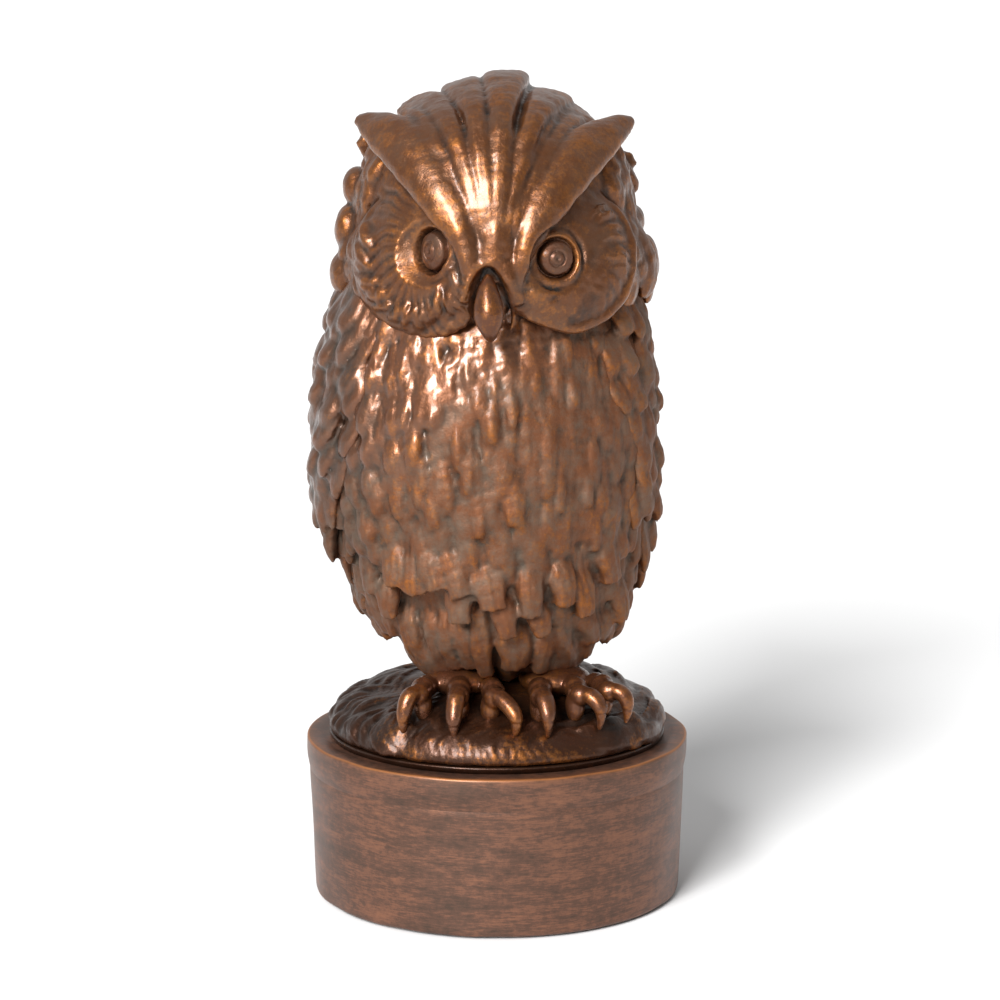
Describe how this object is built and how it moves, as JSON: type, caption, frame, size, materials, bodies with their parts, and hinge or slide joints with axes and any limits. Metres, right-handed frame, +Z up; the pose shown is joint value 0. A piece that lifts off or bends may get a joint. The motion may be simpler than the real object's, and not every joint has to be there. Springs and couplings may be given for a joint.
{
  "type": "figurine book end",
  "caption": "Owl figurine standing on a rocky mound, bolted to a weighted round plinth that holds a row of books upright.",
  "frame": {"origin": "centre of the felt pad's underside, on the surface the book end stands on", "axes": "+Z up, the owl faces -Y, +X is the owl's own left"},
  "size_m": [0.1, 0.1, 0.214],
  "materials": {
    "bronze_finish": "cast resin with a rubbed antique bronze coat, dark in the hollows and copper on the high spots",
    "polished_bronze": "the same coat rubbed smoother and glossier",
    "plinth_bronze": "the same coat brushed round the drum, with copper and dark streaks",
    "steel": "zinc-plated fasteners",
    "iron": "raw grey iron",
    "base_board": "plain black board",
    "felt": "dark brown felt"
  },
  "bodies": {
    "root": {"owl_body": "bronze_finish", "owl_head": "bronze_finish", "left_wing": "bronze_finish", "right_wing": "bronze_finish", "tail": "bronze_finish", "ground_mound": "bronze_finish", "left_foot": "polished_bronze", "right_foot": "polished_bronze", "beak": "polished_bronze", "left_eye": "polished_bronze", "right_eye": "polished_bronze", "plinth_drum": "plinth_bronze", "plinth_cap": "plinth_bronze", "tie_rod": "steel", "lower_washer": "steel", "lower_nut": "steel", "upper_washer": "steel", "upper_nut": "steel", "plate_screw_1": "steel", "plate_screw_2": "steel", "plate_screw_3": "steel", "ballast_slug": "iron", "base_plate": "base_board", "felt_pad": "felt"}
  },
  "joints": []
}
